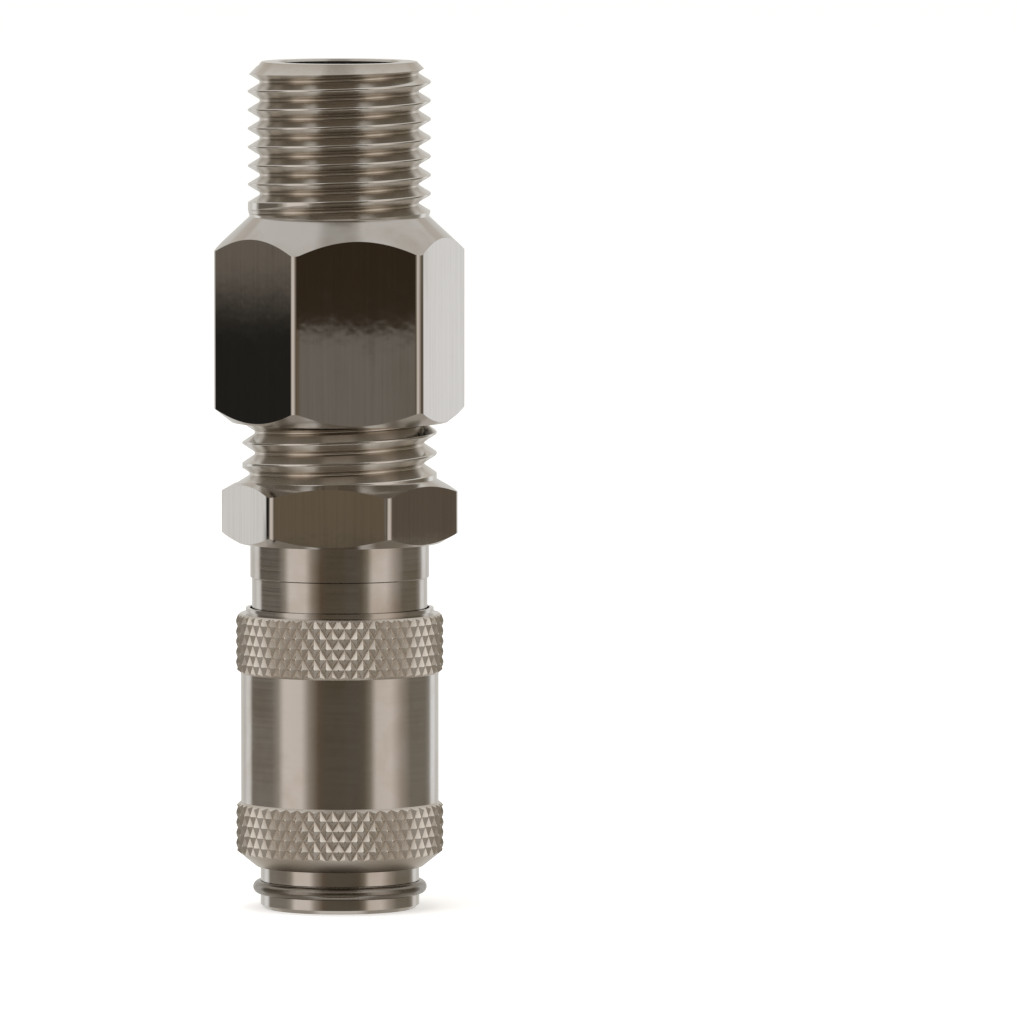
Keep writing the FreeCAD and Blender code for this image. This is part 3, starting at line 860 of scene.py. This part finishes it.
class COUPLING_OT_sleeve(bpy.types.Operator):
    """Sleeve: plain waist between two knurled grip bands, with the balls' recess and ramp inside"""
    bl_idname = "coupling.sleeve"
    bl_label = "Sleeve"

    def knurled_band(self, sizes, outline):
        """Ring with a diamond knurl on its outside, cut off by the ring's own outline."""
        point_r = outer_radius("sleeve") + sizes.knurl_point
        valley_r = outer_radius("sleeve") - sizes.knurl_depth
        columns = 2 * sizes.knurl_count
        row = sizes.knurl_row
        low = min(height for radius, height in outline) - row
        rows = math.ceil((max(height for radius, height in outline) - low) / row) + 1
        roller = add_primitive(bpy.ops.mesh.primitive_cylinder_add, "knurl_roller", vertices=columns,
                               radius=point_r, depth=row, location=(0, 0, low + row / 2))
        bpy.ops.object.mode_set(mode="EDIT")
        select_where(roller, "FACE", lambda face: face.normal.z > UPWARD)
        for _ in range(rows):
            bpy.ops.mesh.extrude_region_move(TRANSFORM_OT_translate={"value": (0, 0, row)})

        def is_valley(vert):
            column = round(math.atan2(vert.co.x, vert.co.y) / math.tau * columns)
            return (column + round((vert.co.z - low) / row)) % 2

        select_where(roller, "VERT", is_valley)
        bpy.ops.transform.resize(value=(valley_r / point_r, valley_r / point_r, 1), center_override=(0, 0, 0))
        select_where(roller, "FACE", lambda face: len(face.verts) == 4)
        bpy.ops.mesh.quads_convert_to_tris(quad_method="SHORTEST_DIAGONAL")
        close_skin()
        band = turn("knurled_band", outline)
        carve(band, roller, "INTERSECT")
        return band

    def execute(self, context):
        sizes = context.scene.sleeve_sizes
        finish = context.scene.coupling_finish
        low, rim_high = heights("sleeve")
        spring_seat = heights("sleeve_spring")[0]
        grip_r = outer_radius("sleeve")
        waist_r = sizes.waist_d / 2
        bore_r = sizes.bore_d / 2
        cone_r = bore_r + sizes.nose_ring
        recess_r = bore_r + sizes.recess_depth
        spring_bore_r = waist_r - sizes.waist_wall
        rim_r = spring_bore_r + sizes.rim_wall
        undercut_r = rim_r - sizes.undercut
        under_r = waist_r - BAND_OVERLAP
        chamfer = sizes.grip_chamfer
        grip_low = low + sizes.nose_cone
        waist_low = grip_low + sizes.lower_grip
        waist_on_cone = low + sizes.nose_cone * (waist_r - cone_r) / (grip_r - cone_r)
        top = rim_high - sizes.rim_height
        band_top = top - WELD
        waist_high = top - sizes.upper_grip
        lip_high = low + sizes.lip_length
        ramp_high = spring_seat - sizes.land
        piece = turn("grip_sleeve", [
            (bore_r, low), (cone_r, low), (waist_r, waist_on_cone), (waist_r, top), (undercut_r, top),
            (undercut_r, top + sizes.undercut), (rim_r, top + sizes.undercut), (rim_r, rim_high),
            (spring_bore_r, rim_high), (spring_bore_r, spring_seat), (bore_r, spring_seat), (bore_r, ramp_high),
            (recess_r, ramp_high - sizes.ramp), (recess_r, lip_high + sizes.recess_depth), (bore_r, lip_high)])
        lower = self.knurled_band(sizes, [
            (under_r, waist_on_cone), (waist_r, waist_on_cone), (grip_r, grip_low),
            (grip_r, waist_low - chamfer), (waist_r, waist_low), (under_r, waist_low)])
        carve(piece, lower, "UNION")
        upper = self.knurled_band(sizes, [
            (under_r, waist_high), (waist_r, waist_high), (grip_r, waist_high + chamfer),
            (grip_r, top - chamfer), (grip_r - chamfer, band_top), (under_r, band_top)])
        carve(piece, upper, "UNION")
        smooth(piece)
        piece.data.materials.append(nickel_turned(finish))
        # Painted shade: the knurl's valleys are painted darker than its points
        plate = nickel_in_grooves(
            "nickel_plated_rolled_knurl", finish.knurl_root_shade_and_grime, finish.knurl_point, grip_r - sizes.knurl_depth, grip_r,
            0.8 * finish.knurl_rough, 1.2 * finish.knurl_rough)
        # The nose cone has the knurl's softer plate too
        finish_faces(piece, plate, lambda z, r, slope: r > waist_r + FACE_MARGIN
                     or slope < CONE_SLOPE and z < grip_low and r > cone_r)
        hand_over(piece, "sleeve", "sleeve")
        return {"FINISHED"}


class COUPLING_OT_balls(bpy.types.Operator):
    """Six locking balls of polished bearing steel in the barrel's holes"""
    bl_idname = "coupling.balls"
    bl_label = "Locking balls"

    def execute(self, context):
        low, high = heights("ball_1")
        half_circle = arc((0, 0), (high - low) / 2, -90, 90, BALL_STEPS // 2)
        balls = [turn("lock_ball_1", half_circle, BALL_STEPS, closed=False)]
        smooth(balls[0], WIRE_SMOOTH)
        balls[0].data.materials.append(bearing_steel(context.scene.coupling_finish))
        while len(balls) < len(BALLS):
            make_active(balls[0])
            bpy.ops.object.duplicate()
            balls.append(context.object)
        for piece, node in zip(balls, BALLS):
            make_active(piece)
            piece.name = "lock_" + node
            piece.location = middle(node)
            bpy.ops.object.transform_apply()
            hand_over(piece, node, node)
        return {"FINISHED"}


class COUPLING_OT_valve(bpy.types.Operator):
    """Mushroom valve: hollow stem with side ports, flat head and a spigot for its spring"""
    bl_idname = "coupling.valve"
    bl_label = "Valve"

    def execute(self, context):
        sizes = context.scene.valve_sizes
        low, high = heights("valve")
        seat, head_low = heights("valve_seal")
        head_high = heights("valve_spring")[0]
        head_r = outer_radius("valve")
        stem_r = sizes.stem_d / 2
        hollow_r = sizes.hollow_d / 2
        spigot_r = sizes.spigot_d / 2
        port_r = sizes.port_d / 2
        edge = sizes.edge_break
        piece = turn("mushroom_valve", [
            (0, seat), (hollow_r, seat), (hollow_r, low), (stem_r - edge, low), (stem_r, low + edge),
            (stem_r, head_low), (head_r, head_low), (head_r, head_high - edge), (head_r - edge, head_high),
            (spigot_r, head_high), (spigot_r, high - edge), (spigot_r - edge, high), (0, high)],
            SMALL_TURN_STEPS, closed=False)
        for direction in (0, math.pi / 2):
            port = add_primitive(
                bpy.ops.mesh.primitive_cylinder_add, "side_port", vertices=PORT_STEPS, radius=port_r,
                depth=4 * stem_r, location=(0, 0, seat - port_r - edge), rotation=(0, math.pi / 2, direction))
            carve(piece, port, "DIFFERENCE")
        smooth(piece)
        piece.data.materials.append(turned_brass(context.scene.coupling_finish))
        hand_over(piece, "valve", "valve")
        return {"FINISHED"}


class COUPLING_OT_seals(bpy.types.Operator):
    """O-ring that grips the plug, and the finish of the gaskets that stay as packed"""
    bl_idname = "coupling.seals"
    bl_label = "Seals"

    def execute(self, context):
        rubber = nitrile_rubber(context.scene.coupling_finish)
        low, high = heights("plug_seal")
        wire_r = (high - low) / 2
        centre = (outer_radius("plug_seal") - wire_r, (low + high) / 2)
        circle = arc(centre, wire_r, 0, 360, RING_WIRE_STEPS)[:-1]
        piece = turn("plug_o_ring", circle, SMALL_TURN_STEPS)
        smooth(piece, WIRE_SMOOTH)
        piece.data.materials.append(rubber)
        hand_over(piece, "housing", "plug_seal")
        for node in ("adapter_gasket", "barrel_gasket", "valve_seal"):
            frame["nodes"][node].data.materials[0] = rubber
        return {"FINISHED"}


class COUPLING_OT_springs(bpy.types.Operator):
    """Both coil springs of drawn wire, each in place of its imported solid"""
    bl_idname = "coupling.springs"
    bl_label = "Springs"

    def coil(self, name, node, wire_d, half_turns):
        """Round wire wound about the axis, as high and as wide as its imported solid."""
        low, high = heights(node)
        piece = add_primitive(
            bpy.ops.mesh.primitive_circle_add, name, vertices=COIL_WIRE_STEPS, radius=wire_d / 2,
            rotation=(math.pi / 2, 0, 0), location=(outer_radius(node) - wire_d / 2, 0, low + wire_d / 2))
        wind(piece, half_turns, math.pi, (high - low - wire_d) / half_turns, HALF_COIL_STEPS)
        close_ends()
        smooth(piece, WIRE_SMOOTH)
        return piece

    def stretch(self, piece, wire, node, held_by, pushes):
        """Gives a spring its wire, bakes its place into its mesh and hides its imported solid; the body that holds
        it and the one that it pushes are not used.
        """
        piece.data.materials.append(wire)
        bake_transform(piece)
        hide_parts(node)

    def execute(self, context):
        sizes = context.scene.spring_sizes
        wire = spring_wire(context.scene.coupling_finish)
        piece = self.coil("sleeve_coil_spring", "sleeve_spring", sizes.sleeve_wire, sizes.sleeve_half_turns)
        self.stretch(piece, wire, "sleeve_spring", "sleeve_spring", "sleeve")
        piece = self.coil("valve_coil_spring", "valve_spring", sizes.valve_wire, sizes.valve_half_turns)
        self.stretch(piece, wire, "valve_spring", "housing", "valve")
        return {"FINISHED"}


def studio_tones(left, front, before, right):
    """Tones round the coupling, by degrees to the right of the camera: soft boxes, and four sectors to choose."""
    return [
        (-180, "#dddbd7"), (-146, "#dddbd7"), (-137, "#ffffff"), (-129, "#f6f5f3"), (-123, left), (-86, left),
        (-76, "#a8a095"), (-68, "#f2e8e0"), (-45, "#f0e5dc"), (-36, "#a99d91"), (-24, "#6c5e4f"), (-16, front),
        (4, front), (12, before), (22, before), (29, "#6c6254"), (37, "#938b7c"), (44, "#e9ded4"),
        (63, "#eee3da"), (76, "#bdb1a6"), (92, right), (120, right), (129, "#a39e97"), (136, "#ffffff"),
        (144, "#ffffff"), (152, "#dddbd7"), (180, "#dddbd7"),
    ]


def steep_tones(sides, front):
    """Tones high above or far below the horizon: two bright strips beside a dark front."""
    return [
        (-180, sides), (-64, sides), (-52, "#ffffff"), (-42, "#ffffff"), (-34, front), (33, front),
        (41, "#ffffff"), (56, "#ffffff"), (67, sides), (180, sides),
    ]


def slant_tones(front, strips, gaps, back):
    """Tones at a slant above or below the horizon, which the knurl's facets show: the same on both sides."""
    half = [
        (10, front), (20, front), (27, strips), (66, strips), (77, gaps), (95, gaps), (108, back), (180, back)]
    return [(-degrees, tone) for degrees, tone in reversed(half)] + half


# What the metal shows, from straight down to straight up: the tone underfoot, then rings of tones, each with
# the two heights of view, as sines, between which it takes over from what is below it
UNDERFOOT = "#e2ddd6"
STUDIO = [
    (-0.97, -0.92, steep_tones("#b0a89d", "#7d7265")),
    (-0.68, -0.62, slant_tones("#b4aca3", "#8d857b", "#8a8278", "#c4bdb4")),
    (-0.48, -0.42, studio_tones("#948d84", "#665e52", "#665e52", "#8b8478")),
    (-0.0768, -0.0748, studio_tones("#2a2926", "#786b59", "#827c74", "#6c6053")),
    (-0.0608, -0.0602, studio_tones("#33312d", "#3c3125", "#3c3125", "#6c6053")),
    (-0.0602, -0.0550, studio_tones("#7a7269", "#3c3125", "#3c3125", "#777061")),
    (0.3, 0.36, slant_tones("#beb6ad", "#f8f2eb", "#989086", "#d2cbc2")),
    (0.5, 0.56, steep_tones("#e2dfdb", "#8d8378")),
    (0.97, 0.995, [(-180, "#bfbbb5"), (180, "#bfbbb5")]),
]


class COUPLING_OT_stage(bpy.types.Operator):
    """Pale floor, soft light and the camera"""
    bl_idname = "coupling.stage"
    bl_label = "Stage"

    def seen_directly(self, tree):
        """1 for what the camera sees itself or through something clear, otherwise 0."""
        path = add_node(tree, "ShaderNodeLightPath")
        seen = add_node(tree, "ShaderNodeMath", {
            0: path.outputs["Is Camera Ray"], 1: path.outputs["Is Transmission Ray"]}, operation="MAXIMUM")
        return seen.outputs["Value"]

    def studio(self, world):
        """White behind the coupling, soft boxes, a dark room and a table in front, seen in the metal."""
        world.use_nodes = True
        tree = world.node_tree
        tree.nodes.clear()
        towards = add_node(tree, "ShaderNodeTexCoord").outputs["Generated"]
        split = add_node(tree, "ShaderNodeSeparateXYZ", {"Vector": towards})
        front = add_node(tree, "ShaderNodeMath", {0: split.outputs["Y"], 1: -1.0}, operation="MULTIPLY")
        side = add_node(tree, "ShaderNodeMath", {0: split.outputs["X"], 1: front.outputs["Value"]},
                        operation="ARCTAN2")
        place = add_node(tree, "ShaderNodeMapRange", {
            "Value": side.outputs["Value"], "From Min": -math.pi, "From Max": math.pi})
        tone = rgba(linear(UNDERFOOT))
        for start, end, tones in STUDIO:
            ring = add_node(tree, "ShaderNodeValToRGB", {"Fac": place.outputs["Result"]})
            stops = ring.color_ramp.elements
            stops[0].color = rgba(linear(tones[0][1]))
            stops[1].color = rgba(linear(tones[-1][1]))
            for degrees, hex_colour in tones[1:-1]:
                stops.new((degrees + 180) / 360).color = rgba(linear(hex_colour))
            above = add_node(tree, "ShaderNodeMapRange", {
                "Value": split.outputs["Z"], "From Min": start, "From Max": end}, interpolation_type="SMOOTHSTEP")
            both = add_node(tree, "ShaderNodeMix", {
                "Factor": above.outputs["Result"], "A": tone, "B": ring.outputs["Color"]}, data_type="RGBA")
            tone = both.outputs["Result"]
        sky = add_node(tree, "ShaderNodeMix", {
            "Factor": self.seen_directly(tree), "A": tone, "B": (1, 1, 1, 1)}, data_type="RGBA")
        light = add_node(tree, "ShaderNodeBackground", {"Color": sky.outputs["Result"]})
        add_node(tree, "ShaderNodeOutputWorld", {"Surface": light.outputs["Background"]})

    def pale_floor(self, tint, glow):
        """Matt paper: its own light makes up for what the lamp lacks of white, and its shadow stays."""
        material, tree, _ = new_material("pale_studio_paper")
        paper = add_node(tree, "ShaderNodeBsdfDiffuse", {"Color": rgba(tint)})
        lift = add_node(tree, "ShaderNodeMath", {0: self.seen_directly(tree), 1: glow}, operation="MULTIPLY")
        white = add_node(tree, "ShaderNodeEmission", {"Strength": lift.outputs["Value"]})
        both = add_node(tree, "ShaderNodeAddShader", {0: paper.outputs["BSDF"], 1: white.outputs["Emission"]})
        add_node(tree, "ShaderNodeOutputMaterial", {"Surface": both.outputs["Shader"]})
        return material

    def execute(self, context):
        scene = context.scene
        stage = scene.coupling_stage
        scene.view_settings.view_transform = "Standard"
        scene.world = bpy.data.worlds.new("studio")
        self.studio(scene.world)
        floor = add_primitive(bpy.ops.mesh.primitive_plane_add, "floor", size=stage.floor_size)
        floor.data.materials.append(self.pale_floor(stage.floor, stage.floor_glow))
        floor.visible_glossy = False
        bpy.ops.object.light_add(type="AREA", location=stage.lamp_place)
        lamp = context.object
        lamp.name = "overhead_soft_box"
        lamp.data.shape = "DISK"
        lamp.data.size = stage.lamp_size
        lamp.data.energy = stage.lamp_power
        lamp.visible_glossy = False
        lamp.rotation_euler = (-lamp.location).to_track_quat("-Z", "Y").to_euler()
        back = Vector((0, -math.cos(stage.elevation), math.sin(stage.elevation)))
        bpy.ops.object.camera_add(location=Vector(stage.aim) + back * stage.distance)
        camera = context.object
        camera.rotation_euler = (-back).to_track_quat("-Z", "Y").to_euler()
        camera.data.lens = camera.data.sensor_width * stage.distance / stage.frame_width
        camera.data.clip_start = 0.1 * stage.distance
        scene.camera = camera
        return {"FINISHED"}


OPERATORS = (
    COUPLING_OT_adapter, COUPLING_OT_connector, COUPLING_OT_barrel, COUPLING_OT_snap_ring, COUPLING_OT_sleeve,
    COUPLING_OT_balls, COUPLING_OT_valve, COUPLING_OT_seals, COUPLING_OT_springs, COUPLING_OT_stage,
)
GROUPS = {
    "adapter_sizes": AdapterSizes, "connector_sizes": ConnectorSizes, "barrel_sizes": BarrelSizes,
    "sleeve_sizes": SleeveSizes, "valve_sizes": ValveSizes, "spring_sizes": SpringSizes,
    "coupling_finish": Finish, "coupling_stage": Stage,
}


class COUPLING_PT_pieces(bpy.types.Panel):
    """Lists the coupling's pieces in the sidebar"""
    bl_idname = "COUPLING_PT_pieces"
    bl_label = "Quick coupling"
    bl_space_type = "VIEW_3D"
    bl_region_type = "UI"
    bl_category = "Coupling"

    def draw(self, context):
        for operator in OPERATORS:
            self.layout.operator(operator.bl_idname)


def register():
    for group in GROUPS.values():
        bpy.utils.register_class(group)
    for name, group in GROUPS.items():
        setattr(bpy.types.Scene, name, PointerProperty(type=group))
    for operator in OPERATORS:
        bpy.utils.register_class(operator)
    bpy.utils.register_class(COUPLING_PT_pieces)


def unregister():
    bpy.utils.unregister_class(COUPLING_PT_pieces)
    for operator in reversed(OPERATORS):
        bpy.utils.unregister_class(operator)
    for name in GROUPS:
        delattr(bpy.types.Scene, name)
    for group in reversed(GROUPS.values()):
        bpy.utils.unregister_class(group)


def main():
    """Builds every piece and the stage."""
    register()
    bpy.ops.coupling.adapter()
    bpy.ops.coupling.connector()
    bpy.ops.coupling.barrel()
    bpy.ops.coupling.snap_ring()
    bpy.ops.coupling.sleeve()
    bpy.ops.coupling.balls()
    bpy.ops.coupling.valve()
    bpy.ops.coupling.seals()
    bpy.ops.coupling.springs()
    bpy.ops.coupling.stage()


if __name__ == "__main__":
    main()
